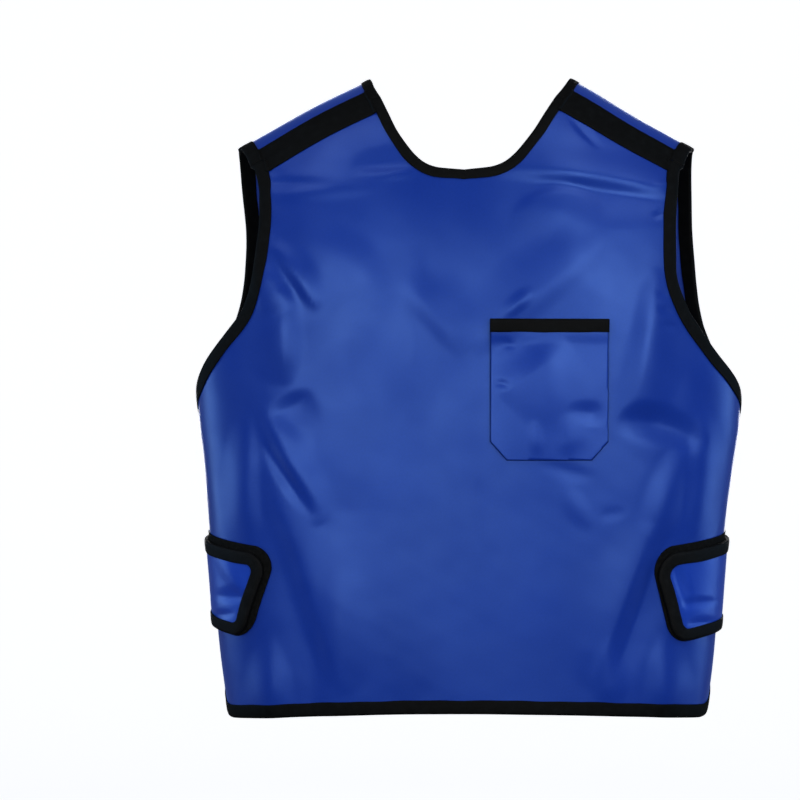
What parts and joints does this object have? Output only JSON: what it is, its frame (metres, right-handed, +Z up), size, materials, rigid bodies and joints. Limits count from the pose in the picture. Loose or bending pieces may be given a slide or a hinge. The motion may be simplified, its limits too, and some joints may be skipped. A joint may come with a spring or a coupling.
{
  "type": "dental x-ray apron",
  "caption": "Sleeveless lead-filled apron in its worn form, with a front and a back panel joined over the shoulders, bound edges, a chest pocket and side tabs.",
  "frame": {"origin": "where the wearer's shoulders or a rack's bar carry the apron: on the middle line, on the shoulder ridge's depth and half way down its slope", "axes": "+Z up when worn, -Y the way the wearer faces, +X the wearer's left"},
  "size_m": [0.5449, 0.2082, 0.6401],
  "materials": {
    "coated_cloth": "blue coated nylon with a soft sheen",
    "binding_tape": "black woven tape with a slight sheen",
    "fastener_loop": "dull black fastener loop"
  },
  "bodies": {
    "root": {"back_panel": "coated_cloth", "edge_binding_back": "binding_tape", "edge_binding_front": "binding_tape", "front_panel": "coated_cloth", "loop_patch_left": "fastener_loop", "loop_patch_right": "fastener_loop", "neck_binding_back": "binding_tape", "neck_binding_front": "binding_tape", "pocket": "coated_cloth", "pocket_band": "binding_tape", "shoulder_band_left": "binding_tape", "shoulder_band_right": "binding_tape", "side_tab_left": "coated_cloth", "side_tab_right": "coated_cloth", "tab_binding_left": "binding_tape", "tab_binding_right": "binding_tape"}
  },
  "joints": []
}
